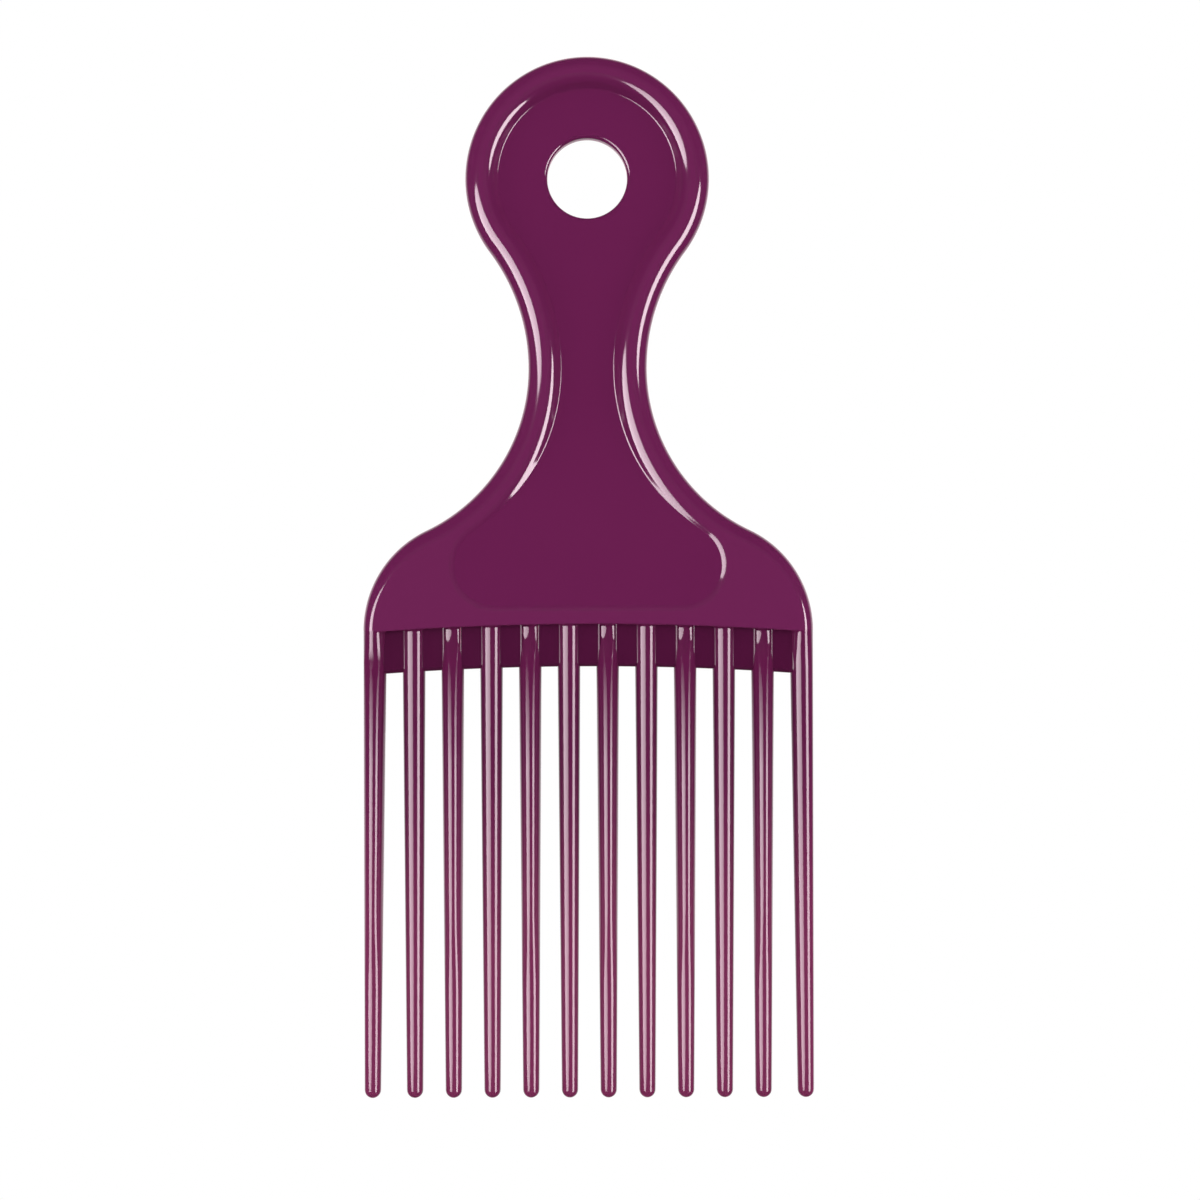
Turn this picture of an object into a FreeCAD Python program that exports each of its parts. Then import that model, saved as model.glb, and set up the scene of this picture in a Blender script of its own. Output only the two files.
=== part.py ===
import FreeCAD, Part
import math
import os

# Hair pick moulded in one piece: a flat handle with a hang hole, a web below it and a row of ribbed tines.
# Millimetres. Z runs up the handle, X across the tines, and the front face looks along -Y.
# The origin is the centre of the hang hole, at half the thickness.

# Handle, seen from the front
GRIP_R = 20.5             # round grip at the top
HANG_HOLE_R = 6.7
NECK_WIDTH = 19.9
NECK_DROP = 31.8          # hang hole down to the narrowest point of the neck
FLARE_R = 30.2            # hollow curve from the neck out to the shoulder
SHOULDER_R = 18.6
HEAD_WIDTH = 75.6
ROOT_RISE = 1.3           # the root line arches up this much in the middle

# Handle, in section
THICKNESS = 5.6
EDGE_LAND = 0.1           # half of the narrow straight band left round the rounded edge
RIM_LAND = 0.35           # flat crown of the rim, between its outer and inner rounding
RIM_INNER_R = 2.0
PANEL_THICKNESS = 2.4     # floor of the recess that both faces have
RECESS_WALL_DEG = 50.0    # slope of the recess wall, from the face
RECESS_FOOT_R = 0.6
HOLE_EDGE_R = 0.4
PANEL_SIDE = 14.6         # head's side in to the recess
PANEL_ROOT_BAND = 1.65    # root line up to the recess

# Tines and the web between their roots
TINE_COUNT = 12
TINE_LENGTH = 79.95       # middle of the root line down to the tips
TINE_ROOT_R = 1.9
TINE_TIP_R = 1.3
TINE_PLAIN_END = 16.3     # round end of a tine, below its rib
RIB_START = 2.0           # root line down to where a rib grows out of the tine
RIB_DROP = 16.0           # root line down to where the rib is highest
RIB_DEPTH = 2.55          # middle of the thickness out to the rib's crest there
WEB_HEIGHT = 7.4
WEB_THICKNESS = 2.4
WEB_EDGE_R = 0.8

# Places that follow from the sizes
NECK_HALF = NECK_WIDTH / 2
HEAD_HALF = HEAD_WIDTH / 2
FACE = THICKNESS / 2
EDGE_R = FACE - EDGE_LAND
RECESS_DEPTH = (THICKNESS - PANEL_THICKNESS) / 2
WALL_SLOPE = math.radians(RECESS_WALL_DEG)
WALL_RUN = RECESS_DEPTH / math.tan(WALL_SLOPE)
WALL_LENGTH = RECESS_DEPTH / math.sin(WALL_SLOPE)
FILLET_REACH = math.tan(WALL_SLOPE / 2)         # length that a rounding takes from the wall, per radius
INNER_SHARE = 0.65        # most of the wall's length that its upper and lower rounding may take
FOOT_SHARE = 0.25
INNER_R = min(RIM_INNER_R, INNER_SHARE * WALL_LENGTH / FILLET_REACH)
FOOT_R = min(RECESS_FOOT_R, FOOT_SHARE * WALL_LENGTH / FILLET_REACH)
WEB_EDGE_SHARE = 0.45     # most of the web's thickness that one rounded edge may take
RIM_WIDTH = EDGE_R + RIM_LAND + INNER_R * FILLET_REACH
UPPER_NECK_R = (NECK_HALF**2 + NECK_DROP**2 - GRIP_R**2) / (2 * (GRIP_R - NECK_HALF))
TOUCH = 0.001             # two places closer than this are the same place


def at(x, z, y=0.0):
    """Point from its place across, up and in depth."""
    return FreeCAD.Vector(x, y, z)


def flipped(point):
    """The same point on the other side of the handle's middle."""
    return FreeCAD.Vector(-point.x, point.y, point.z)


def touching(centre_a, radius_a, centre_b, radius_b):
    """Point where two circles that lie outside each other touch."""
    return centre_a + (centre_b - centre_a) * (radius_a / (radius_a + radius_b))


def arc_about(centre, start, end):
    """Arc under half a circle about a centre."""
    towards_middle = ((start - centre) + (end - centre)).normalize()
    return Part.Arc(start, centre + towards_middle * (start - centre).Length, end).toShape()


GRIP_CENTRE = at(0, 0)
UPPER_NECK_CENTRE = at(NECK_HALF + UPPER_NECK_R, -NECK_DROP)
FLARE_CENTRE = at(NECK_HALF + FLARE_R, -NECK_DROP)
SHOULDER_CENTRE = at(
    HEAD_HALF - SHOULDER_R,
    -NECK_DROP - math.sqrt((FLARE_R + SHOULDER_R)**2 - (NECK_HALF + FLARE_R - HEAD_HALF + SHOULDER_R)**2),
)
ROOT_Z = SHOULDER_CENTRE.z + ROOT_RISE          # middle of the root line
ROOT_ARCH_R = (HEAD_HALF**2 + ROOT_RISE**2) / (2 * ROOT_RISE)
TIP_Z = ROOT_Z - TINE_LENGTH
TIP_CENTRE_Z = TIP_Z + TINE_TIP_R
RIB_END_Z = TIP_Z + TINE_PLAIN_END


def side_edges(inset, corner_centre, corner_r, corner_end):
    """Right side of the handle's outline, moved in by inset: neck, flare and the corner below it."""
    above = touching(GRIP_CENTRE, GRIP_R - inset, UPPER_NECK_CENTRE, UPPER_NECK_R + inset)
    waist = at(NECK_HALF - inset, -NECK_DROP)
    below = touching(FLARE_CENTRE, FLARE_R + inset, corner_centre, corner_r)
    return [(UPPER_NECK_CENTRE, above, waist), (FLARE_CENTRE, waist, below), (corner_centre, below, corner_end)]


def closed_outline(inset, right_side, bottom, y):
    """Whole outline from its right side, at depth y: grip, both sides and the bottom edge."""
    above = right_side[0][1]
    edges = [Part.Arc(flipped(above), at(0, GRIP_R - inset), above).toShape()]
    edges += [arc_about(*arc) for arc in right_side]
    edges.append(bottom)
    edges += [arc_about(flipped(c), flipped(end), flipped(start)) for c, start, end in reversed(right_side)]
    wire = Part.Wire(edges)
    wire.translate(at(0, 0, y))
    return wire


def root_arch(drop, half_width):
    """Arched line across the head, drop below the root line."""
    def height(x):
        return ROOT_Z - drop - ROOT_ARCH_R + math.sqrt(ROOT_ARCH_R**2 - x**2)
    return Part.Arc(at(half_width, height(half_width)), at(0, ROOT_Z - drop), at(-half_width, height(half_width)))


def handle_outline(y):
    """Outer edge of the handle, down to the root line."""
    corner = at(HEAD_HALF, SHOULDER_CENTRE.z)
    right_side = side_edges(0, SHOULDER_CENTRE, SHOULDER_R, corner)
    return closed_outline(0, right_side, root_arch(0, HEAD_HALF).toShape(), y)


def recess_outline(inset, y):
    """Edge of the recess, inset from the handle's edge: its lower corners stay clear of sides and roots."""
    side_x = HEAD_HALF - PANEL_SIDE
    bottom_z = ROOT_Z + PANEL_ROOT_BAND
    # The corner's circle touches the recess's side, its bottom and the flare
    flare_r = FLARE_R + RIM_WIDTH
    across = FLARE_CENTRE.x - side_x
    down = FLARE_CENTRE.z - bottom_z
    half_sum = down + flare_r - across
    top_corner_r = half_sum - math.sqrt(half_sum**2 - (across**2 + down**2 - flare_r**2))
    corner_centre = at(side_x - top_corner_r, bottom_z + top_corner_r)
    corner_r = top_corner_r - (inset - RIM_WIDTH)
    corner_end = at(corner_centre.x, corner_centre.z - corner_r)
    right_side = side_edges(inset, corner_centre, corner_r, corner_end)
    bottom = Part.LineSegment(corner_end, flipped(corner_end)).toShape()
    return closed_outline(inset, right_side, bottom, y)


def edges_along(solid, wire):
    """Edges of a solid whose middle lies on a wire."""
    found = []
    for edge in solid.Edges:
        middle = edge.valueAt((edge.FirstParameter + edge.LastParameter) / 2)
        if wire.distToShape(Part.Vertex(middle))[0] < TOUCH:
            found.append(edge)
    return found


def recess_tool(side):
    """Solid that hollows one face: its wall runs on past the face, which side -1 or 1 names."""
    past = RECESS_DEPTH / 2
    mouth = recess_outline(RIM_WIDTH - WALL_RUN / 2, side * (FACE + past))
    floor = recess_outline(RIM_WIDTH + WALL_RUN, side * PANEL_THICKNESS / 2)
    return Part.makeLoft([mouth, floor], True, True)


def make_handle():
    """Flat handle with a rounded rim, a recess in each face and the hang hole."""
    solid = Part.Face(handle_outline(-FACE)).extrude(at(0, 0, THICKNESS))
    arch = root_arch(0, HEAD_HALF).toShape()
    for y in (-FACE, FACE):
        root_edges = edges_along(solid, arch.translated(at(0, 0, y)))
        rim_edges = edges_along(solid, handle_outline(y))
        rim_edges = [edge for edge in rim_edges if not any(edge.isSame(root) for root in root_edges)]
        solid = solid.makeFillet(EDGE_R, rim_edges)
    hole = Part.makeCylinder(HANG_HOLE_R, THICKNESS, at(0, 0, -FACE), at(0, 0, 1))
    solid = solid.cut([recess_tool(-1), recess_tool(1), hole])
    for side in (-1, 1):
        solid = solid.makeFillet(INNER_R, edges_along(solid, recess_outline(RIM_WIDTH, side * FACE)))
        floor_y = side * PANEL_THICKNESS / 2
        solid = solid.makeFillet(FOOT_R, edges_along(solid, recess_outline(RIM_WIDTH + WALL_RUN, floor_y)))
        rim = Part.Circle(at(0, 0, floor_y), at(0, 0, 1), HANG_HOLE_R).toShape()
        solid = solid.makeFillet(HOLE_EDGE_R, edges_along(solid, rim))
    return solid


def below_root_line():
    """Space below the root line, that the tines are cut to."""
    reach = HEAD_HALF + THICKNESS
    arch = root_arch(0, reach)
    right = at(reach, TIP_Z - THICKNESS)
    left = flipped(right)
    sides = [
        Part.LineSegment(arch.EndPoint, left).toShape(),
        Part.LineSegment(left, right).toShape(),
        Part.LineSegment(right, arch.StartPoint).toShape(),
    ]
    face = Part.Face(Part.Wire([arch.toShape()] + sides))
    face.translate(at(0, 0, -THICKNESS))
    return face.extrude(at(0, 0, 2 * THICKNESS))


def tine_radius(z):
    """Radius of a tine's round side, which tapers from root to tip."""
    return TINE_TIP_R + (TINE_ROOT_R - TINE_TIP_R) * (z - TIP_CENTRE_Z) / (ROOT_Z - TIP_CENTRE_Z)


def tine_centre(number, z):
    """Place across of a tine's middle: the two outer tines keep their outer edge in line with the head."""
    outermost = HEAD_HALF - TINE_ROOT_R
    share = 2 * (number - 1) / (TINE_COUNT - 1) - 1
    if number in (1, TINE_COUNT):
        return share * (HEAD_HALF - tine_radius(z))
    return share * outermost


def half_section(x, z, radius, crest_y):
    """Half of a tine's section, from its middle out to a crest: round, or half an ellipse where it is deeper."""
    left = at(x - radius, z)
    right = at(x + radius, z)
    crest = at(x, z, crest_y)
    if abs(crest_y) - radius < TOUCH:
        return Part.Arc(left, crest, right).toShape()
    ellipse = Part.Ellipse(crest, right, at(x, z))
    return Part.ArcOfEllipse(ellipse, -math.pi / 2, math.pi / 2).toShape()


def tine_section(number, z, rib_depth):
    """Section of a tine, round but for its rib: odd numbers have it in front and even ones at the back."""
    rib_side = -1 if number % 2 else 1
    radius = tine_radius(z)
    x = tine_centre(number, z)
    rib = half_section(x, z, radius, rib_side * max(radius, rib_depth))
    plain = half_section(x, z, radius, -rib_side * radius)
    return Part.Wire(Part.__sortEdges__([rib, plain]))


def make_tine(number, space):
    """One tine: a tapered rod with a rib along one side, above its plain round end."""
    levels = [
        (ROOT_Z + ROOT_RISE, 0),
        (ROOT_Z - RIB_START, 0),
        (ROOT_Z - RIB_DROP, min(RIB_DEPTH, FACE)),
        (RIB_END_Z, 0),
        (TIP_CENTRE_Z, 0),
    ]
    shaft = Part.makeLoft([tine_section(number, *level) for level in levels], True, True)
    tip_centre = at(tine_centre(number, TIP_CENTRE_Z), TIP_CENTRE_Z)
    tip = Part.makeSphere(TINE_TIP_R, tip_centre, at(0, 1), -90, 0, 360)
    return shaft.fuse(tip).common(space)


def make_web(tines):
    """Web between the roots of the tines, with a rounded lower edge."""
    half_width = HEAD_HALF - TINE_ROOT_R
    upper = root_arch(0, half_width)
    lower = root_arch(WEB_HEIGHT, half_width)
    edges = [
        upper.toShape(),
        Part.LineSegment(upper.EndPoint, lower.EndPoint).toShape(),
        lower.toShape(),
        Part.LineSegment(lower.StartPoint, upper.StartPoint).toShape(),
    ]
    face = Part.Face(Part.Wire(Part.__sortEdges__(edges)))
    face.translate(at(0, 0, -WEB_THICKNESS / 2))
    plate = face.extrude(at(0, 0, WEB_THICKNESS))
    edge_r = min(WEB_EDGE_R, WEB_EDGE_SHARE * WEB_THICKNESS)
    for y in (-WEB_THICKNESS / 2, WEB_THICKNESS / 2):
        plate = plate.makeFillet(edge_r, edges_along(plate, lower.toShape().translated(at(0, 0, y))))
    return plate.cut(tines)


os.makedirs("parts", exist_ok=True)
make_handle().exportStep("parts/handle.step")
tine_space = below_root_line()
all_tines = [make_tine(number, tine_space) for number in range(1, TINE_COUNT + 1)]
for number, tine in enumerate(all_tines, start=1):
    tine.exportStep(f"parts/tine_{number:02d}.step")
make_web(all_tines).exportStep("parts/root_web.step")
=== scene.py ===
import logging
import math
from collections.abc import Callable
from dataclasses import dataclass
from enum import Enum

import bmesh
import bpy
from bpy.types import Light, Material, MeshPolygon, Node, NodeSocket, NodeTree, Object, Scene, World
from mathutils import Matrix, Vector


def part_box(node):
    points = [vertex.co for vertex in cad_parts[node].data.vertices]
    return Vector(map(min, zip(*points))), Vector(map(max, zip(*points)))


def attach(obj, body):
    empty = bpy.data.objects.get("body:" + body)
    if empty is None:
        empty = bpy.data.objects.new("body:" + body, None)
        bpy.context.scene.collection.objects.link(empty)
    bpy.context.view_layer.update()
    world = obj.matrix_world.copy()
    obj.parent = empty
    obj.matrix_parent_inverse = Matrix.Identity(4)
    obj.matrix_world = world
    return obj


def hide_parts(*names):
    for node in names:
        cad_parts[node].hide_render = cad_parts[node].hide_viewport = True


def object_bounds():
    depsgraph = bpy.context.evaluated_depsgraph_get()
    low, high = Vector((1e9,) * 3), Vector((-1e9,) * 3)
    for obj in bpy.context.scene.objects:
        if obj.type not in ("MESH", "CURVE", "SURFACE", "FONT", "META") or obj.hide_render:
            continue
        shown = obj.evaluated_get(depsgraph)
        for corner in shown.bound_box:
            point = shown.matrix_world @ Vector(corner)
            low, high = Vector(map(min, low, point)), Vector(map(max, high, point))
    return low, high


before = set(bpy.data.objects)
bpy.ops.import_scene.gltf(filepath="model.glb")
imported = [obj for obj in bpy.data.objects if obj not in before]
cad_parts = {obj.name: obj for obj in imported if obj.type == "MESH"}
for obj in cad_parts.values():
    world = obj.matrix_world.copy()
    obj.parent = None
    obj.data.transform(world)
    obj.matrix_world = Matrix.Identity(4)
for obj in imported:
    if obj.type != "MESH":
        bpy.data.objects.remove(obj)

# Looks of a moulded hair pick: a flat handle with a rounded rim and a recess in each face, a web and
# twelve tines. Metres, in the frame's own axes: Z up the handle, X across the tines, and the front
# looks along -Y.

LOG = logging.getLogger("hair_pick")
CAD_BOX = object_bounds()
BODY = "root"
WHITE = "FFFFFF"
TOUCH = 2e-6                       # two places closer than this are the same place
FLAT = 0.9945                      # faces whose normal has more than this along Y count as flat
X_AXIS = Vector((1, 0, 0))
Y_AXIS = Vector((0, 1, 0))
Z_AXIS = Vector((0, 0, 1))
MIDDLE = Vector((0, 0, 0))         # centre of the hang hole


class Element(Enum):
    """What a selection looks at, by Blender's own names."""

    VERTEX = "VERT"
    EDGE = "EDGE"
    FACE = "FACE"


class Rib(Enum):
    """Side of a tine that its rib stands on: the sign is that of Y."""

    FRONT = -1
    BACK = 1


def mm(length: float) -> float:
    """Gives metres for a length in millimetres."""
    return length * 0.001


def place(x: float, z: float, y: float = 0.0) -> Vector:
    """Gives a point from its place across, up and in depth."""
    return Vector((x, y, z))


def linear(hex_code: str) -> tuple[float, float, float, float]:
    """Turns an sRGB colour into the linear one that shaders use.

    Args:
        hex_code: Six hex digits.

    Returns:
        Linear red, green and blue, and an alpha of 1.
    """
    shares = [int(hex_code[start:start + 2], 16) / 255 for start in (0, 2, 4)]
    red, green, blue = (s / 12.92 if s <= 0.04045 else ((s + 0.055) / 1.055) ** 2.4 for s in shares)
    return red, green, blue, 1.0


def ease(share: float) -> float:
    """Gives a smooth step from 0 to 1 for a share from 0 to 1."""
    inside = min(max(share, 0.0), 1.0)
    return inside**2 * (3 - 2 * inside)


def add_node(
    tree: NodeTree,
    kind: str,
    settings: dict | None = None,
    inputs: dict | None = None,
    links: dict | None = None,
) -> Node:
    """Adds a shader node.

    Args:
        tree: Node tree that gets the node.
        kind: Blender's type name of the node, after the words ShaderNode.
        settings: Properties of the node itself.
        inputs: Constant values by input name or number.
        links: Output sockets by the input name or number that they feed.

    Returns:
        The new node.
    """
    node = tree.nodes.new(f"ShaderNode{kind}")
    for name, value in (settings or {}).items():
        setattr(node, name, value)
    for name, value in (inputs or {}).items():
        node.inputs[name].default_value = value
    for name, socket in (links or {}).items():
        tree.links.new(socket, node.inputs[name])
    return node


def open_tree(owner: Material | Light | World) -> NodeTree:
    """Empties the node tree of a material, a lamp or a world.

    Args:
        owner: What the tree belongs to.

    Returns:
        The tree.
    """
    owner.use_nodes = True
    owner.node_tree.nodes.clear()
    return owner.node_tree


def hang_lamp(name: str, at: Vector, out: Vector) -> Object:
    """Hangs an area lamp that the camera doesn't see.

    Args:
        name: Name of the lamp.
        at: Its place.
        out: Direction of its back.

    Returns:
        The lamp's object.
    """
    holder = bpy.data.objects.new(name, bpy.data.lights.new(name, "AREA"))
    holder.location = at
    holder.rotation_euler = out.to_track_quat("Z", "Y").to_euler()
    holder.visible_camera = False
    bpy.context.collection.objects.link(holder)
    return holder


class MeshBench:
    """One mesh, modelled in edit mode with Blender's own tools.

    A stroke works on what is selected, and leaves its far end selected for the next stroke.
    """

    def __init__(self, name: str, pattern: Object | None = None) -> None:
        """Opens a copy of a pattern in edit mode, all selected, or else a mesh with nothing in it.

        Args:
            name: Name of the piece and of its mesh.
            pattern: Finished piece to copy. Without one, a plane is added and its faces taken off again.
        """
        bpy.ops.object.select_all(action="DESELECT")
        if pattern:
            pattern.select_set(True)
            bpy.context.view_layer.objects.active = pattern
            bpy.ops.object.duplicate(linked=False)
        else:
            bpy.ops.mesh.primitive_plane_add(size=mm(1))
        self.piece = bpy.context.object
        self.piece.name = name
        self.piece.data.name = name
        bpy.ops.object.mode_set(mode="EDIT")
        bpy.ops.mesh.select_all(action="SELECT")
        if not pattern:
            bpy.ops.mesh.delete(type="VERT")

    def select(self, element: Element, test: Callable[[object], bool]) -> None:
        """Selects what passes a test and isn't hidden.

        Args:
            element: Vertices, edges or faces.
            test: Gets a vertex, edge or face, and says whether it is wanted.
        """
        bpy.ops.mesh.select_mode(type=element.value)
        bpy.ops.mesh.select_all(action="DESELECT")
        shape = bmesh.from_edit_mesh(self.piece.data)
        kinds = {Element.VERTEX: shape.verts, Element.EDGE: shape.edges, Element.FACE: shape.faces}
        for item in kinds[element]:
            if not item.hide and test(item):
                item.select_set(True)
        shape.select_flush_mode()
        bmesh.update_edit_mesh(self.piece.data)

    def select_at(self, test: Callable[[Vector], bool]) -> None:
        """Selects the vertices whose place passes a test."""
        self.select(Element.VERTEX, lambda vertex: test(vertex.co))

    def dot(self, at: Vector) -> None:
        """Starts a line with one vertex: a small plane merged at its middle.

        Args:
            at: Place of the vertex.
        """
        bpy.ops.mesh.select_mode(type=Element.VERTEX.value)
        bpy.ops.mesh.select_all(action="DESELECT")
        bpy.ops.mesh.primitive_plane_add(size=mm(1), location=at)
        bpy.ops.mesh.merge(type="CENTER")

    def extrude(self, step: Vector) -> None:
        """Draws on in a straight line from the selected vertex or edges.

        Args:
            step: How far, and which way.
        """
        shape = bmesh.from_edit_mesh(self.piece.data)
        if any(edge.select for edge in shape.edges):
            bpy.ops.mesh.extrude_edges_move(TRANSFORM_OT_translate={"value": step})
        else:
            bpy.ops.mesh.extrude_vertices_move(TRANSFORM_OT_translate={"value": step})

    def spin(self, centre: Vector, axis: Vector, degrees: float, steps: int) -> None:
        """Draws on in an arc, right-handed about an axis through a centre."""
        bpy.ops.mesh.spin(steps=steps, angle=-math.radians(degrees), center=centre, axis=axis)

    def fill_at(self, test: Callable[[Vector], bool]) -> None:
        """Joins two vertices by an edge, or fills a loop with a face, where their places pass a test."""
        self.select_at(test)
        bpy.ops.mesh.edge_face_add()

    def mirror(self, across: bool) -> None:
        """Mirrors the mesh to the back, and opens the whole in edit mode.

        Args:
            across: True to mirror it from side to side as well.
        """
        self.close()
        bpy.ops.object.modifier_add(type="MIRROR")
        mirror = self.piece.modifiers[-1]
        mirror.use_axis = (across, True, False)
        mirror.merge_threshold = TOUCH
        bpy.ops.object.modifier_apply(modifier=mirror.name)
        bpy.ops.object.mode_set(mode="EDIT")

    def merge(self) -> None:
        """Merges doubles and turns the faces outwards."""
        bpy.ops.mesh.select_mode(type=Element.VERTEX.value)
        bpy.ops.mesh.select_all(action="SELECT")
        bpy.ops.mesh.remove_doubles(threshold=TOUCH)
        bpy.ops.mesh.normals_make_consistent(inside=False)

    def close(self) -> Object:
        """Leaves edit mode and gives the piece, with its place in its mesh."""
        bpy.ops.object.mode_set(mode="OBJECT")
        return self.piece

    def finish(self, smooth_degrees: float) -> Object:
        """Merges the whole mesh and smooths its shading.

        Args:
            smooth_degrees: Edges that turn more than this stay sharp.

        Returns:
            The finished piece.
        """
        bpy.ops.mesh.reveal(select=False)
        self.merge()
        piece = self.close()
        bpy.ops.object.shade_smooth_by_angle(angle=math.radians(smooth_degrees))
        return piece


@dataclass(frozen=True)
class MouldedStyrene:
    """Polished polystyrene, coloured through and moulded in a bright steel mould.

    The eye gets a deep, even plum under hard clear highlights. The surface is glassy but not perfect: it
    dips very slightly where the melt flowed and shrank, and handling leaves it a little duller in soft
    patches. A finish with a painted light colour goes over to that along a measure: painted light or shade.
    """

    name: str = "plum_moulded_polystyrene"
    colour: str = "691E4F"
    flow_colour: str = "651C4C"
    painted_light_colour: str = ""
    painted_light_start: float = 0.0
    painted_light_end: float = 0.0
    ior: float = 1.56
    roughness: float = 0.07
    dull_roughness: float = 0.1
    specular: float = 0.5
    flow_size: float = mm(24)
    smudge_size: float = mm(9)
    shrink_size: float = mm(14)
    shrink_depth: float = mm(0.02)
    edge_glow: float = 0.5
    edge_spread: float = 0.3
    edge_colour: str = "FF8AB4"

    def _measure(self, tree: NodeTree, at: NodeSocket) -> NodeSocket:
        """Gives the socket of the height, along which a colour fades."""
        return add_node(tree, "SeparateXYZ", links={0: at}).outputs["Z"]

    def _colour(self, tree: NodeTree, at: NodeSocket, flow: NodeSocket) -> NodeSocket:
        """Adds the nodes of the colour.

        Args:
            tree: Node tree of the material.
            at: Object coordinates.
            flow: Pattern of the flow marks.

        Returns:
            The socket that gives the colour.
        """
        near = add_node(
            tree, "Mix", {"data_type": "RGBA"},
            {6: linear(self.colour), 7: linear(self.flow_colour)}, {0: flow},
        ).outputs[2]
        if not self.painted_light_colour:
            return near
        # Painted light or shade: the colour goes over to the painted light colour along the measure.
        share = add_node(
            tree, "MapRange", {"interpolation_type": "SMOOTHSTEP"},
            {1: self.painted_light_start, 2: self.painted_light_end, 3: 0.0, 4: 1.0}, {0: self._measure(tree, at)},
        ).outputs[0]
        return add_node(
            tree, "Mix", {"data_type": "RGBA"}, {7: linear(self.painted_light_colour)}, {0: share, 6: near},
        ).outputs[2]

    def material(self) -> Material:
        """Makes the material.

        Returns:
            A node material on object coordinates.
        """
        made = bpy.data.materials.new(self.name)
        tree = open_tree(made)
        at = add_node(tree, "TexCoord").outputs["Object"]
        noises = {
            size: add_node(
                tree, "TexNoise", inputs={"Scale": 1 / size, "Detail": 2.0, "Roughness": 0.5},
                links={"Vector": at},
            ).outputs["Fac"]
            for size in (self.flow_size, self.smudge_size, self.shrink_size)
        }
        dullness = add_node(
            tree, "MapRange", inputs={3: self.roughness, 4: self.dull_roughness},
            links={0: noises[self.smudge_size]},
        )
        bump = add_node(
            tree, "Bump", inputs={"Strength": 1.0, "Distance": self.shrink_depth},
            links={"Height": noises[self.shrink_size]},
        )
        shader = add_node(
            tree, "BsdfPrincipled",
            inputs={
                "IOR": self.ior,
                "Specular IOR Level": self.specular,
                "Sheen Weight": self.edge_glow,
                "Sheen Roughness": self.edge_spread,
                "Sheen Tint": linear(self.edge_colour),
            },
            links={
                "Base Color": self._colour(tree, at, noises[self.flow_size]),
                "Roughness": dullness.outputs[0],
                "Normal": bump.outputs[0],
            },
        )
        add_node(tree, "OutputMaterial", links={"Surface": shader.outputs[0]})
        return made


@dataclass(frozen=True)
class HandleStyrene(MouldedStyrene):
    """The same polystyrene in the handle, with painted light: paler on the raised face and the rim's crown.
    """

    name: str = "plum_handle_polystyrene"
    # Painted light: the raised face and rim crown are painted paler than the recess, for the lighter
    # surroundings they mirror.
    painted_light_colour: str = "6C2252"
    painted_light_start: float = mm(2.58)
    painted_light_end: float = mm(2.79)

    def _measure(self, tree: NodeTree, at: NodeSocket) -> NodeSocket:
        """Gives the socket of the distance from the middle plane, along which the colour fades."""
        depth = add_node(tree, "SeparateXYZ", links={0: at}).outputs["Y"]
        return add_node(tree, "Math", {"operation": "ABSOLUTE"}, links={0: depth}).outputs[0]


@dataclass(frozen=True)
class EtchedStyrene(HandleStyrene):
    """The handle's flats, where the mould is etched very fine: they mirror no lamp, and keep the painted
    light.
    """

    name: str = "plum_etched_polystyrene"
    roughness: float = 0.35
    dull_roughness: float = 0.42
    specular: float = 0.005


@dataclass(frozen=True)
class TineStyrene(MouldedStyrene):
    """The tines' polystyrene, painted rosier and paler to the thin tips: a painted glow for light through
    them.
    """

    name: str = "plum_tine_polystyrene"
    colour: str = "631B48"
    flow_colour: str = "5F1A45"
    # Painted glow: the colour goes paler and rosier down to the tips, for light passing through the thin
    # tines.
    painted_light_colour: str = "7A2D55"
    painted_light_start: float = mm(-92)
    painted_light_end: float = mm(-132)
    specular: float = 0.35
    edge_glow: float = 0.2


@dataclass(frozen=True)
class RibStyrene(TineStyrene):
    """The tines' polystyrene on the ribbed side: satin where the rib starts, glossy above and below."""

    name: str = "plum_rib_polystyrene"
    satin_share: float = 0.05
    root_gloss_end: float = mm(-79)
    satin_start: float = mm(-81)
    satin_end: float = mm(-99)

    def material(self) -> Material:
        """Makes the material of the tines, with its gloss changed along the rib.

        Returns:
            A node material on object coordinates.
        """
        made = super().material()
        tree = made.node_tree
        shader = next(node for node in tree.nodes if node.type == "BSDF_PRINCIPLED")
        height = self._measure(tree, add_node(tree, "TexCoord").outputs["Object"])
        satin = self.specular * self.satin_share
        shares = [
            add_node(
                tree, "MapRange",
                inputs={1: self.satin_start, 2: glossy_end, 3: satin, 4: self.specular}, links={0: height},
            ).outputs[0]
            for glossy_end in (self.root_gloss_end, self.satin_end)
        ]
        gloss = add_node(tree, "Math", {"operation": "MAXIMUM"}, links=dict(enumerate(shares)))
        tree.links.new(gloss.outputs[0], shader.inputs["Specular IOR Level"])
        return made


@dataclass(frozen=True)
class WebStyreneWithPaintedShade(MouldedStyrene):
    """The same polystyrene in the thin web, painted a deeper plum as shade between the tines, and less
    shiny.
    """

    name: str = "painted_shade_plum_web_polystyrene"
    # Painted shade: the web's deeper plum stands in for the shade between the tines.
    colour: str = "501239"
    flow_colour: str = "4B1136"
    roughness: float = 0.16
    dull_roughness: float = 0.22
    specular: float = 0.2


@dataclass(frozen=True)
class WebEtchedStyreneWithPaintedShade(WebStyreneWithPaintedShade):
    """The web's polystyrene on its flats: the same painted shade of deeper plum, etched very fine."""

    name: str = "painted_shade_plum_web_etched_polystyrene"
    roughness: float = 0.35
    dull_roughness: float = 0.42
    specular: float = 0.005


def lies_flat(face: MeshPolygon) -> bool:
    """Says whether a face lies flat to the front or the back."""
    return abs(face.normal.y) > FLAT


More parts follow.
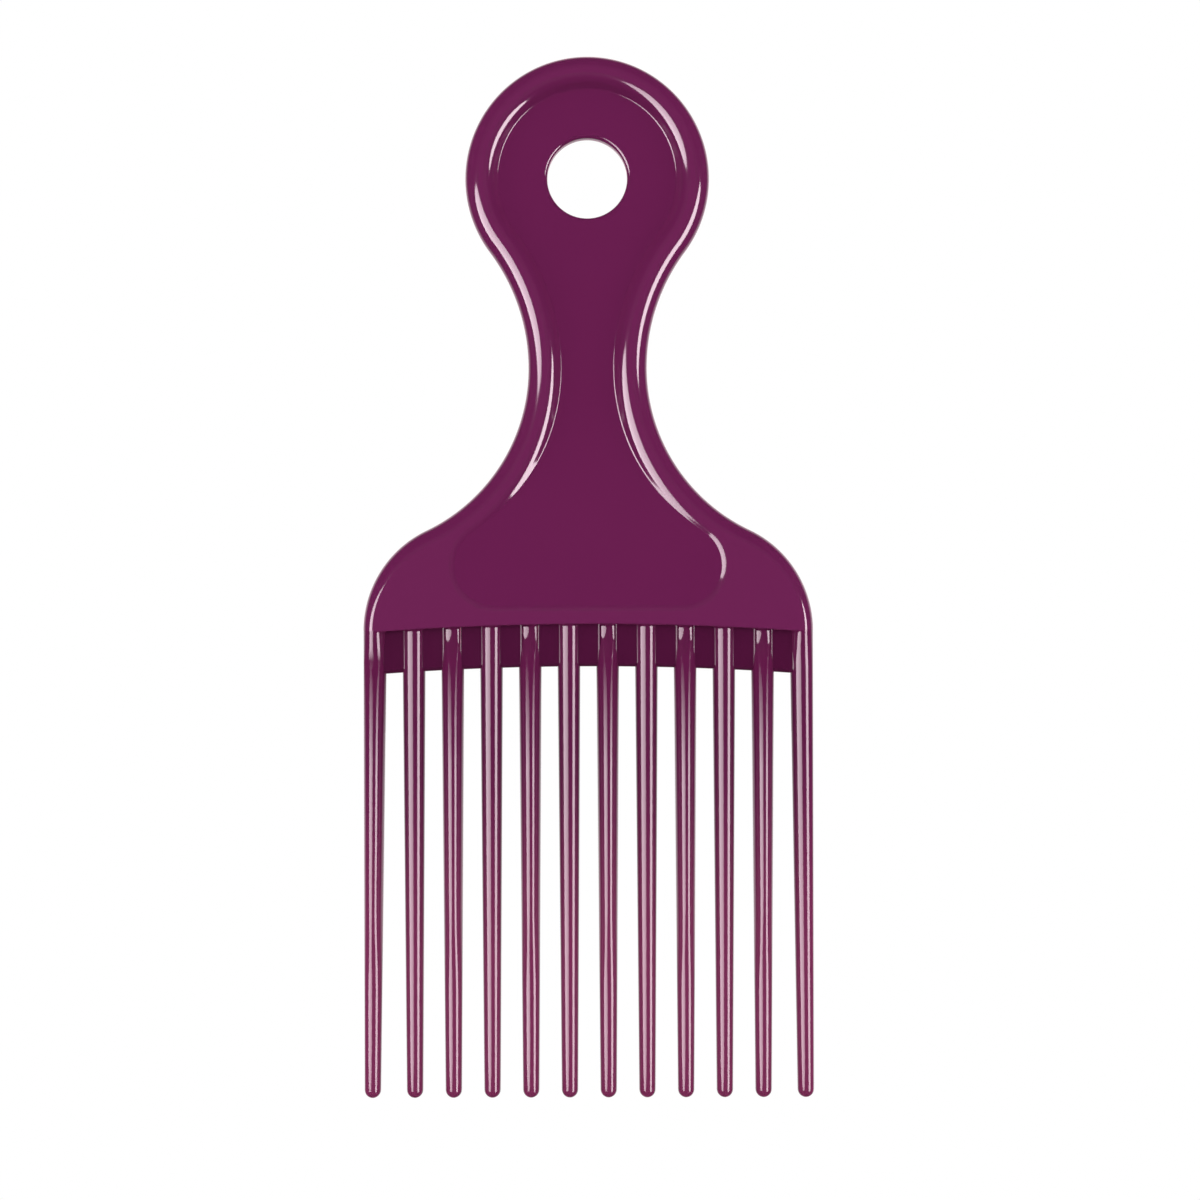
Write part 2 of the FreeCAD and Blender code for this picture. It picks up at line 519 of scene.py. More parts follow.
def dress_piece(
    piece: Object,
    finishes: tuple[Material, Material],
    takes_second: Callable[[MeshPolygon], bool],
    *nodes: str,
) -> None:
    """Gives a piece its finishes and its place in the frame.

    Args:
        piece: The piece.
        finishes: Its two materials.
        takes_second: Says whether a face gets the second material.
        nodes: CAD nodes that it stands for.
    """
    piece.data.materials.clear()
    for finish in finishes:
        piece.data.materials.append(finish)
    for face in piece.data.polygons:
        face.material_index = int(takes_second(face))
    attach(piece, BODY)
    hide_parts(*nodes)


@dataclass
class Handle:
    """Flat handle: round grip with the hang hole, waisted neck and wide head, the same on both faces."""

    low: Vector
    high: Vector
    neck_half: float = mm(9.95)
    neck_drop: float = mm(31.8)
    flare_r: float = mm(30.2)
    shoulder_r: float = mm(18.6)
    shoulder_edge: float = mm(1.96)
    root_rise: float = mm(1.3)
    hole_r: float = mm(6.7)
    hole_edge_r: float = mm(0.65)
    edge_land: float = mm(0.1)
    rim_land: float = mm(0.35)
    inner_r: float = mm(2.4)
    wall_degrees: float = 50.0
    foot_r: float = mm(0.45)
    floor_half: float = mm(1.2)
    head_recess_share: float = 0.14
    head_wall_share: float = 0.55
    panel_side: float = mm(15.2)
    panel_root_band: float = mm(2.6)
    lip_r: float = mm(0.25)
    flat_margin: float = mm(0.15)
    flat_corners: int = 40             # faces with more corners than this are the flats
    smooth_degrees: float = 50.0
    edge_steps: int = 16
    inner_steps: int = 12
    foot_steps: int = 8
    grip_steps: int = 84
    neck_steps: int = 28
    sweep_steps: int = 40
    joint_steps: int = 8
    corner_steps: int = 64
    root_steps: int = 32
    lip_steps: int = 5
    hole_edge_steps: int = 10
    hole_steps: int = 72

    def __post_init__(self) -> None:
        """Works out the centres and insets that follow from the sizes."""
        self.face = self.high.y
        self.grip_r = self.high.z
        self.head_half = self.high.x
        self.edge_r = self.face - self.edge_land
        self.wall_slope = math.radians(self.wall_degrees)
        self.reach = math.tan(self.wall_slope / 2)
        self.crown_in = self.edge_r + self.rim_land
        self.wall_top_in = self.crown_in + self.inner_r * self.reach
        self.recess = self.face - self.floor_half
        wall_in = self.recess / math.tan(self.wall_slope)
        self.foot_in = self.wall_top_in + wall_in + self.foot_r * self.reach
        neck_square = self.neck_half**2 + self.neck_drop**2 - self.grip_r**2
        neck_r = neck_square / (2 * (self.grip_r - self.neck_half))
        self.neck_centre = place(self.neck_half + neck_r, -self.neck_drop)
        self.flare_centre = place(self.neck_half + self.flare_r, -self.neck_drop)
        self.shoulder_centre = place(self.head_half - self.shoulder_r, self.low.z)
        self.root_z = self.low.z + self.root_rise
        self.root_end = self.head_half - self.shoulder_edge
        self.arch_r = (self.root_end**2 + self.root_rise**2) / (2 * self.root_rise)
        self.corner_centre = self._recess_corner()
        fall = math.radians(self._flare_fall(self.corner_centre))
        self.parting = place(-math.cos(fall), -math.sin(fall))
        self.ramp_end = self.flare_centre + self.parting * (self.flare_r + self._foot_in(1.0))

    def _recess_corner(self) -> Vector:
        """Works out the recess's round lower corner.

        Returns:
            The centre of the circle that touches the recess's side, its bottom and the flare.
        """
        side_x = self.head_half - self.panel_side
        bottom_z = self.root_z + self.panel_root_band
        touching_r = self.flare_r + self.wall_top_in
        across = self.flare_centre.x - side_x
        down = self.flare_centre.z - bottom_z
        half_sum = down + touching_r - across
        corner_r = half_sum - math.sqrt(half_sum**2 - (across**2 + down**2 - touching_r**2))
        return place(side_x - corner_r, bottom_z + corner_r)

    def _wall_share(self, turned: float) -> float:
        """Gives how wide the recess's wall still is after a share of the turn round the flare."""
        return 1 - (1 - self.head_wall_share) * ease(turned**2)

    def _foot_in(self, turned: float) -> float:
        """Gives how far in the recess's floor starts after a share of the turn round the flare."""
        return self.crown_in + (self.foot_in - self.crown_in) * self._wall_share(turned)

    def _flare_fall(self, centre: Vector) -> float:
        """Gives how many degrees below level the flare's centre sees another centre on its left."""
        return math.degrees(math.atan2(self.flare_centre.z - centre.z, self.flare_centre.x - centre.x))

    def _from_flare(self, at: Vector) -> Vector:
        """Gives the way from the flare's centre to a place, seen from the front."""
        return Vector((at.x - self.flare_centre.x, 0, at.z - self.flare_centre.z))

    def _out_from_flare(self, at: Vector) -> float:
        """Gives how far inside the flare's outline a place lies."""
        return self._from_flare(at).length - self.flare_r

    def _on_face(self, at: Vector) -> bool:
        """Says whether a place lies in the plane of the front face."""
        return abs(at.y + self.face) < TOUCH

    def arch(self, x: float) -> float:
        """Gives the height of the root line at a place across."""
        return self.root_z - self.arch_r + math.sqrt(self.arch_r**2 - x**2)

    def build(self) -> list[Object]:
        """Models one quarter by sweeping the rim's section along the outline, and mirrors it.

        Returns:
            The handle as one closed mesh.
        """
        bench = MeshBench("handle_moulding")
        self._draw_section(bench)
        self._sweep_rim(bench)
        self._fill_head(bench)
        self._open_hole(bench)
        bench.mirror(across=True)
        bench.merge()
        self._frame_flats(bench)
        return [bench.finish(self.smooth_degrees)]

    def dress(self, pieces: list[Object]) -> None:
        """Makes the handle polished where it is rounded, etched on its flats, and painted paler on its
        raised face.
        """
        finishes = HandleStyrene().material(), EtchedStyrene().material()
        dress_piece(pieces[0], finishes, lies_flat, "handle")

    def _draw_section(self, bench: MeshBench) -> None:
        """Draws the rim's section at the top of the grip, from the middle plane in to the recess.

        Args:
            bench: The mesh, with nothing in it.
        """
        top = self.grip_r
        wall = self.recess / math.sin(self.wall_slope) - (self.inner_r + self.foot_r) * self.reach
        edge_centre = place(0, top - self.edge_r, -self.edge_land)
        inner_centre = place(0, top - self.crown_in, self.inner_r - self.face)
        foot_centre = place(0, top - self.foot_in, -self.floor_half - self.foot_r)
        bench.dot(place(0, top))
        bench.extrude(place(0, 0, -self.edge_land))
        bench.spin(edge_centre, X_AXIS, 90, self.edge_steps)
        bench.extrude(place(0, -self.rim_land))
        bench.spin(inner_centre, X_AXIS, self.wall_degrees, self.inner_steps)
        bench.extrude(place(0, -wall * math.cos(self.wall_slope), wall * math.sin(self.wall_slope)))
        bench.spin(foot_centre, X_AXIS, -self.wall_degrees, self.foot_steps)

    def _sweep_rim(self, bench: MeshBench) -> None:
        """Sweeps the section round the grip and down to the flare, where outer and inner part separate.

        Args:
            bench: The mesh, with the section drawn.
        """
        neck_bearing = math.degrees(math.atan2(self.neck_centre.z, self.neck_centre.x))
        corner_fall = self._flare_fall(self.corner_centre)
        bench.select_at(lambda at: True)
        bench.spin(MIDDLE, Y_AXIS, 90 - neck_bearing, self.grip_steps)
        bench.spin(self.neck_centre, Y_AXIS, neck_bearing, self.neck_steps)
        depth, width = 1.0, 1.0
        for step in range(1, self.sweep_steps + 1):
            bench.spin(self.flare_centre, Y_AXIS, -corner_fall / self.sweep_steps, 1)
            bpy.ops.mesh.hide(unselected=True)
            turned = step / self.sweep_steps
            old_depth, depth = depth, 1 - (1 - self.head_recess_share) * ease(turned)
            old_width, width = width, self._wall_share(turned)
            fall = math.radians(corner_fall * step / self.sweep_steps)
            outward = place(-math.cos(fall), -math.sin(fall))
            crown = outward * (self.flare_r + self.crown_in) + self.flare_centre
            crown.y = -self.face
            bench.select_at(lambda at: self._out_from_flare(at) > self.crown_in + TOUCH)
            across = width / old_width
            bpy.ops.transform.resize(value=(across, depth / old_depth, across), center_override=crown)
            bench.select_at(lambda at: True)
        bench.select_at(lambda at: self._out_from_flare(at) < self.edge_r + TOUCH)
        self._sweep_shoulder(bench, corner_fall)

        def on_parting(at: Vector) -> bool:
            """Says whether a place of the section's inner part lies where the parts separate."""
            aside = self._from_flare(at).cross(self.parting).length
            return aside < TOUCH and self._out_from_flare(at) > self.crown_in - TOUCH

        bench.select_at(on_parting)
        bench.spin(self.corner_centre, Y_AXIS, corner_fall + 90, self.corner_steps)
        bench.extrude(place(-self.corner_centre.x, 0))

    def _sweep_shoulder(self, bench: MeshBench, corner_fall: float) -> None:
        """Takes the rim's outer part on round the shoulder, where it narrows to the outer tine's width.

        Args:
            bench: The mesh, with the outer part of the section selected.
            corner_fall: How many degrees below level the sweep round the flare has come.
        """
        shoulder_fall = self._flare_fall(self.shoulder_centre)
        bench.spin(self.flare_centre, Y_AXIS, corner_fall - shoulder_fall, self.joint_steps)
        narrowing = 1 - self.shoulder_edge / self.edge_r
        share = 1.0
        for step in range(1, self.sweep_steps + 1):
            bench.spin(self.shoulder_centre, Y_AXIS, shoulder_fall / self.sweep_steps, 1)
            before, share = share, 1 - narrowing * ease(step / self.sweep_steps)
            rise = math.radians(shoulder_fall * (1 - step / self.sweep_steps))
            outline = self.shoulder_centre + place(math.cos(rise), math.sin(rise)) * self.shoulder_r
            bpy.ops.transform.resize(value=(share / before, 1, share / before), center_override=outline)

    def _fill_head(self, bench: MeshBench) -> None:
        """Draws the arched root line, fills the face above it, and goes on round the lip to the middle.

        Args:
            bench: The mesh, with the rim swept.
        """
        bench.select_at(lambda at: self._on_face(at) and abs(at.z - self.low.z) < TOUCH)
        arch_centre = place(0, self.root_z - self.arch_r, -self.face)
        half_arch = math.degrees(math.asin(self.root_end / self.arch_r))
        bench.spin(arch_centre, Y_AXIS, -half_arch, self.root_steps)
        bench.fill_at(lambda at: self._on_face(at) and abs(at.x) < TOUCH)
        bench.fill_at(self._on_face)
        bench.select_at(lambda at: self._on_face(at) and abs(at.z - self.arch(at.x)) < TOUCH)
        turns = [math.radians(90 * step / self.lip_steps) for step in range(self.lip_steps + 1)]
        for before, after in zip(turns, turns[1:]):
            back = math.cos(before) - math.cos(after)
            down = math.sin(after) - math.sin(before)
            bench.extrude(place(0, -self.lip_r * down, self.lip_r * back))
        bench.extrude(place(0, 0, self.face - self.lip_r))

        def on_side_end(at: Vector) -> bool:
            """Says whether a place lies on the rim's lower end, where the outer tine goes on."""
            return at.z < self.low.z + TOUCH and at.x > self.root_end - TOUCH

        bench.fill_at(lambda at: on_side_end(at) and abs(at.y) < TOUCH)
        bench.fill_at(on_side_end)
        bpy.ops.mesh.reveal(select=False)

    def _open_hole(self, bench: MeshBench) -> None:
        """Spins the hang hole's edge, and fills the recess's floor: level, sloping up, and level again.

        Args:
            bench: The mesh, with the rim swept and the head's face filled.
        """
        edge_start = self.hole_r + self.hole_edge_r
        head_floor = self.face - self.recess * self.head_recess_share

        def on_grip_floor(at: Vector) -> bool:
            """Says whether a place lies on the level floor of grip and neck."""
            return abs(at.y + self.floor_half) < TOUCH and at.z > self.flare_centre.z - TOUCH

        def on_head_floor(at: Vector) -> bool:
            """Says whether a place lies on the level floor in the head."""
            is_level = abs(at.y + head_floor) < TOUCH
            return is_level and at.z < self.ramp_end.z + TOUCH and at.x < self.corner_centre.x * 2

        def on_ramp_side(at: Vector) -> bool:
            """Says whether a place lies on the side of the sloping floor.

            Args:
                at: The place.

            Returns:
                True where the wall's foot meets the slope.
            """
            if at.z > self.flare_centre.z + TOUCH or at.z < self.ramp_end.z - TOUCH:
                return False
            turned = self._flare_fall(at) / self._flare_fall(self.corner_centre)
            return abs(self._out_from_flare(at) - self._foot_in(turned)) < TOUCH

        def on_hole_edge(at: Vector) -> bool:
            """Says whether a place lies on the section of the hole's edge."""
            return abs(at.x) < TOUCH and abs(at.z - self.hole_r) < self.hole_edge_r + TOUCH

        bench.select_at(on_ramp_side)
        bench.extrude(place(-self.flat_margin, 0))
        bench.extrude(MIDDLE)
        bpy.ops.transform.resize(value=(0, 1, 1), center_override=MIDDLE)
        bench.dot(place(0, edge_start, -self.floor_half))
        edge_centre = place(0, edge_start, self.hole_edge_r - self.floor_half)
        bench.spin(edge_centre, X_AXIS, 90, self.hole_edge_steps)
        bench.extrude(place(0, 0, self.floor_half - self.hole_edge_r))
        bench.select_at(on_hole_edge)
        bench.spin(MIDDLE, Y_AXIS, 180, self.hole_steps)
        for end in (1, -1):
            bench.fill_at(lambda at: on_grip_floor(at) and abs(at.x) < TOUCH and at.z * end > 0)
        bench.fill_at(on_grip_floor)
        bench.fill_at(lambda at: on_head_floor(at) and abs(at.x) < TOUCH)
        bench.fill_at(on_head_floor)

    def _frame_flats(self, bench: MeshBench) -> None:
        """Insets the flat faces a little, so that they shade flat right up to their rounded edges."""
        bench.select(Element.FACE, lambda face: len(face.verts) > self.flat_corners)
        bpy.ops.mesh.inset(thickness=self.flat_margin, depth=0)


@dataclass
class TineRow:
    """Twelve tapered tines in one row: round rods whose rib stands in front and at the back in turn."""

    handle: Handle
    tip_z: float
    count: int = 12
    root_r: float = mm(1.96)
    tip_r: float = mm(1.37)
    root_fillet_r: float = mm(0.6)
    root_step: float = mm(0.25)
    root_foot: float = mm(0.55)
    sunk: float = mm(0.8)
    hidden: float = mm(0.01)
    dip: float = mm(0.5)
    rib_start: float = mm(2.2)
    rib_top: float = mm(18.5)
    rib_hold: float = mm(46.0)
    rib_end: float = mm(62.0)
    rib_height: float = mm(0.92)
    rib_power: float = 2.6
    outer_blend: float = mm(5.0)
    smooth_degrees: float = 60.0
    ring_points: int = 48
    rib_rings: int = 36
    rib_ring_power: float = 1.3        # above 1, the rings stand closer together near the root
    end_rings: int = 3
    fillet_turns: tuple[int, ...] = (90, 65, 45, 28, 14, 0)
    tip_turns: tuple[int, ...] = (15, 30, 45, 60, 73, 84)

    def __post_init__(self) -> None:
        """Works out where the round tips start."""
        self.root_z = self.handle.root_z
        self.tip_centre_z = self.tip_z + self.tip_r

    def name(self, number: int) -> str:
        """Gives the CAD node's name of a tine."""
        return f"tine_{number:02d}"

    def rib_side(self, number: int) -> Rib:
        """Says on which side a tine's rib stands."""
        return Rib.FRONT if number % 2 else Rib.BACK

    def rib_test(self, number: int) -> Callable[[MeshPolygon], bool]:
        """Gives a test for the faces on a tine's ribbed side."""
        side = self.rib_side(number).value
        return lambda face: face.normal.y * side > 0

    def centre_x(self, number: int) -> float:
        """Gives the place across of a tine at its root."""
        return (self.handle.head_half - self.root_r) * (2 * (number - 1) / (self.count - 1) - 1)

    def radius(self, drop: float) -> float:
        """Gives the rod's radius at a drop below the root line."""
        share = drop / (self.root_z - self.tip_centre_z)
        return self.root_r + (self.tip_r - self.root_r) * share

    def rib(self, drop: float) -> float:
        """Gives how far the rib stands out of the rod.

        Args:
            drop: How far below the root line.

        Returns:
            A length that is negative at the root, then rises slowly, stays level, and falls to nothing.
        """
        if drop < self.rib_top:
            left = min((self.rib_top - drop) / (self.rib_top - self.rib_start), 1.0)
            return self.rib_height - (self.rib_height + self.dip) * left**self.rib_power
        return self.rib_height * ease((self.rib_end - drop) / (self.rib_end - self.rib_hold))

    def build(self) -> list[Object]:
        """Models an inner and an outer tine, and copies them to their places.

        Returns:
            The tines in order from the left.
        """
        inner = self._model("tine_pattern", 0.0, is_outer=False)
        outer = self._model("tine_outer_pattern", self.centre_x(1), is_outer=True)
        made = [self._copy(number, inner, outer) for number in range(1, self.count + 1)]
        for pattern in (inner, outer):
            bpy.data.objects.remove(pattern)
        return made

    def dress(self, pieces: list[Object]) -> None:
        """Makes the tines polished and painted paler to the tips, with the rib's own gloss on their ribbed
        sides.

        Args:
            pieces: The tines in order from the left.
        """
        finishes = TineStyrene().material(), RibStyrene().material()
        for number, tine in enumerate(pieces, start=1):
            dress_piece(tine, finishes, self.rib_test(number), self.name(number))

    def _drops(self) -> list[float]:
        """Spaces the rings of a tine's shaft.

        Returns:
            How far below the root line each ring lies, from the top down.
        """
        fillet, rings = self.root_fillet_r, self.end_rings
        drops = [-self.sunk] + [-self.root_step * step / rings for step in range(rings, 0, -1)]
        drops += [fillet * (1 - math.sin(math.radians(turn))) for turn in self.fillet_turns]
        shares = [(step / self.rib_rings)**self.rib_ring_power for step in range(1, self.rib_rings + 1)]
        drops += [fillet + (self.rib_end - fillet) * share for share in shares]
        plain = self.root_z - self.tip_centre_z - self.rib_end
        return drops + [self.rib_end + plain * step / rings for step in range(1, rings + 1)]

    def _model(self, name: str, x: float, is_outer: bool) -> Object:
        """Models one tine with its rib in front, as rings bridged from root to tip.

        Args:
            name: Name of the pattern.
            x: Place across of its middle at the root.
            is_outer: True for the left outer tine, whose outer side stays in line with the head's side.

        Returns:
            The pattern, with its root at the middle of the root line.
        """
        bench = MeshBench(name)
        for drop in self._drops():
            self._ring(bench, x, drop, is_outer)
        tip_x = x - (self.root_r - self.tip_r) if is_outer else x
        for turn in self.tip_turns:
            angle = math.radians(turn)
            tip_ring_z = self.tip_centre_z - self.tip_r * math.sin(angle)
            self._circle(place(tip_x, tip_ring_z), self.tip_r * math.cos(angle))
        bpy.ops.mesh.select_all(action="SELECT")
        bpy.ops.mesh.bridge_edge_loops()
        for end_z in (self.root_z + self.sunk, tip_ring_z):
            bench.fill_at(lambda at: abs(at.z - end_z) < TOUCH)
        return bench.finish(self.smooth_degrees)

    def _circle(self, centre: Vector, radius: float) -> None:
        """Adds a ring to the open mesh, with no point right at its left or right."""
        half_step = math.pi / self.ring_points
        bpy.ops.mesh.primitive_circle_add(
            vertices=self.ring_points, radius=radius, location=centre, rotation=(0, 0, half_step)
        )

    def _ring(self, bench: MeshBench, x: float, drop: float, is_outer: bool) -> None:
        """Adds the ring of a tine's section and pulls out its rib.

        Args:
            bench: The mesh.
            x: Place across of the tine's middle at the root.
            drop: How far below the root line the section lies.
            is_outer: True for the left outer tine.
        """
        fillet = self.root_fillet_r
        into_fillet = min(max(fillet - drop, 0.0), fillet)
        growth = fillet - math.sqrt(fillet**2 - into_fillet**2)
        radius = self.radius(drop)
        inner, outer = radius + growth, radius + growth
        flush = ease((self.root_foot - drop) / (self.root_foot + self.root_step))
        rib = self.rib(drop)
        if is_outer:
            flush = min(max(1 - drop / self.outer_blend, 0.0), 1.0)
            rib = max(rib, 0.0)
            outer = radius
            x = outer - self.handle.head_half
        depth = radius + flush * (self.handle.face - self.hidden - radius)
        front = depth + (1 - flush) * rib
        centre = place(x, self.root_z - drop)
        self._circle(centre, radius)
        for share, test in (
            ((outer / radius, 1), lambda at: at.x < x),
            ((inner / radius, 1), lambda at: at.x > x),
            ((1, front / radius), lambda at: at.y < 0),
            ((1, depth / radius), lambda at: at.y > 0),
        ):
            bench.select_at(lambda at: abs(at.z - centre.z) < TOUCH and test(at))
            bpy.ops.transform.resize(value=(*share, 1), center_override=centre)

    def _copy(self, number: int, inner: Object, outer: Object) -> Object:
        """Copies a pattern to a tine's place, turns it to its rib's side and moves its root to the arch.

        Args:
            number: The tine, counted from the left.
            inner: Pattern of the inner tines, at the middle.
            outer: Pattern of the left outer tine, in its place.

        Returns:
            The tine.
        """
        is_outer = number in (1, self.count)
        bench = MeshBench(f"{self.name(number)}_moulding", outer if is_outer else inner)
        x = self.centre_x(number)
        if self.rib_side(number) is Rib.BACK:
            bpy.ops.transform.rotate(value=math.pi, orient_axis="Z", center_override=MIDDLE)
        if not is_outer:
            bpy.ops.transform.translate(value=place(x, 0))
        bench.select_at(lambda at: at.z > self.root_z - self.rib_top)
        bpy.ops.transform.translate(value=place(0, self.handle.arch(abs(x)) - self.root_z))
        return bench.close()


@dataclass
class RootWeb:
    """Thin web between the tines' roots, with a small hollow fillet beside each tine and a round edge."""

    handle: Handle
    tines: TineRow
    half_thickness: float = mm(1.2)
    height: float = mm(7.4)
    edge_r: float = mm(0.8)
    fillet_r: float = mm(0.5)
    fillet_degrees: float = 50.0
    fillet_bite: float = mm(0.12)
    sunk: float = mm(0.8)
    arc_steps: int = 8
    smooth_degrees: float = 40.0

    def __post_init__(self) -> None:
        """Works out the spacing of the tines and where the web ends."""
        self.pitch = self.tines.centre_x(2) - self.tines.centre_x(1)
        self.low_z = self.handle.root_z - self.height

    def build(self) -> list[Object]:
        """Models the middle cell once, copies it between the tines and joins the cells.

        Returns:
            The web as one piece.
        """
        pattern = self._model()
        count = self.tines.count
        cells = [self._copy(pattern, (number - count / 2) * self.pitch) for number in range(1, count)]
        bpy.data.objects.remove(pattern)
        bpy.ops.object.select_all(action="DESELECT")
        for cell in cells:
            cell.select_set(True)
        bpy.context.view_layer.objects.active = cells[0]
        bpy.ops.object.join()
        web = bpy.context.object
        web.name = "root_web_moulding"
        web.data.name = web.name
        return [web]

    def dress(self, pieces: list[Object]) -> None:
        """Makes the web a deeper plum, painted shade between the tines, polished where rounded and etched on
        its flats.
        """
        finishes = WebStyreneWithPaintedShade().material(), WebEtchedStyreneWithPaintedShade().material()
        dress_piece(pieces[0], finishes, lies_flat, "root_web")

    def _model(self) -> Object:
        """Models the cell between the two middle tines.

        Returns:
            The cell: its section drawn across, then taken down and rolled under, and closed.
        """
        bench = MeshBench("web_cell")
        fillet_y = -self.half_thickness - self.fillet_r
        away = math.sqrt((self.tines.root_r + self.fillet_r)**2 - fillet_y**2) - self.fillet_bite
        flat_half = self.pitch / 2 - away
        top_z = self.handle.root_z + self.sunk
        turn = math.radians(self.fillet_degrees)
        start_x = -flat_half - self.fillet_r * math.sin(turn)
        bench.dot(place(start_x, top_z, fillet_y + self.fillet_r * math.cos(turn)))
        bench.spin(place(-flat_half, top_z, fillet_y), Z_AXIS, -self.fillet_degrees, self.arc_steps)
        bench.extrude(place(2 * flat_half, 0))
        bench.spin(place(flat_half, top_z, fillet_y), Z_AXIS, -self.fillet_degrees, self.arc_steps)
        bench.select_at(lambda at: True)
        bench.extrude(place(0, self.edge_r - self.height - self.sunk))
        roll_centre = place(0, self.low_z + self.edge_r, self.edge_r - self.half_thickness)
        bench.spin(roll_centre, X_AXIS, 90, self.arc_steps)
        return self._close(bench)

    def _close(self, bench: MeshBench) -> Object:
        """Mirrors the cell's front to its back and closes it.

        Args:
            bench: The mesh, with the section's rolled end selected.

        Returns:
            The cell as a closed piece.
        """
        bench.extrude(place(0, 0, self.half_thickness - self.edge_r))
        bench.select_at(lambda at: at.z < self.low_z + self.edge_r and at.y > -TOUCH)
        bpy.ops.transform.resize(value=(1, 0, 1), center_override=MIDDLE)
        bench.mirror(across=False)
        bench.select(Element.EDGE, lambda edge: edge.is_boundary)
        bpy.ops.mesh.fill_holes(sides=0)
        return bench.finish(self.smooth_degrees)

    def _copy(self, pattern: Object, x: float) -> Object:
        """Copies the cell to its place on the arch and slants its lower edge along it.

        Args:
            pattern: The middle cell.
            x: Place across of the new cell.

        Returns:
            The cell.
        """
        bench = MeshBench("web_cell_copy", pattern)
        bpy.ops.transform.translate(value=place(x, self.handle.arch(x) - self.handle.root_z))
        for side in (-1, 1):
            rise = self.handle.arch(x + side * self.pitch / 2) - self.handle.arch(x)
            bench.select_at(lambda at: (at.x - x) * side > 0)
            bpy.ops.transform.translate(value=place(0, rise / 2))
        return bench.close()


@dataclass(frozen=True)
class Softbox:
    """Large oval soft lamp that only the glossy plastic mirrors, dimmer towards the camera if asked."""

    name: str
    inner_azimuth: float
    outer_azimuth: float
    radiance: float
    inner_share: float = 1.0
    top: float = 10.5
    bottom: float = -26.5
    distance: float = 2.4
    level: float = mm(-30)
    colour: str = "FFEEF6"

    def build(self) -> None:
        """Stands the lamp upright, square to the middle of its azimuths."""
        across = math.radians((self.inner_azimuth + self.outer_azimuth) / 2)
        half_turn = math.radians(abs(self.outer_azimuth - self.inner_azimuth) / 2)
        top, bottom = (self.distance * math.tan(math.radians(end)) for end in (self.top, self.bottom))
        width, height = 2 * self.distance * math.tan(half_turn), top - bottom
        out = Vector((math.sin(across), -math.cos(across), 0))
        holder = hang_lamp(self.name, out * self.distance + place(0, self.level + (top + bottom) / 2), out)
        holder.visible_diffuse = False
        lamp = holder.data
        lamp.shape = "ELLIPSE"
        lamp.size, lamp.size_y = width, height
        lamp.energy = self.radiance * math.pi * width * height * math.pi / 4
        reach = math.cos(across) * width / 2
        inward = -math.copysign(reach, across)
        self._fade(lamp, holder.location.x + inward, holder.location.x - inward)

    def _fade(self, lamp: Light, inner_x: float, outer_x: float) -> None:
        """Makes the lamp fade towards the camera.

        Args:
            lamp: The lamp.
            inner_x: Place across of its edge nearest the camera.
            outer_x: Place across of its other edge.
        """
        tree = open_tree(lamp)
        spot = add_node(tree, "NewGeometry").outputs["Position"]
        parts = add_node(tree, "SeparateXYZ", links={0: spot}).outputs
        ends = {1: inner_x, 2: outer_x, 3: self.inner_share, 4: 1.0}
        strength = add_node(tree, "MapRange", inputs=ends, links={0: parts["X"]}).outputs[0]
        tint = linear(self.colour)
        glow = add_node(tree, "Emission", inputs={"Color": tint}, links={"Strength": strength})
        add_node(tree, "OutputLight", links={"Surface": glow.outputs[0]})


@dataclass(frozen=True)
class FillLamp:
    """Soft lamp that lights the colour of the plastic and isn't mirrored in it."""

    name: str
    azimuth: float
    radiance: float
    elevation: float = 10.0
    side: float = 0.6
    distance: float = 0.9

    def build(self, target: Vector) -> None:
        """Hangs the lamp so that it faces a target.

        Args:
            target: The place that it lights.
        """
        across, up = math.radians(self.azimuth), math.radians(self.elevation)
        level = math.cos(up)
        out = Vector((math.sin(across) * level, -math.cos(across) * level, math.sin(up)))
        holder = hang_lamp(self.name, target + out * self.distance, out)
        holder.visible_glossy = False
        holder.data.size = self.side
        holder.data.energy = self.radiance * math.pi * self.side**2


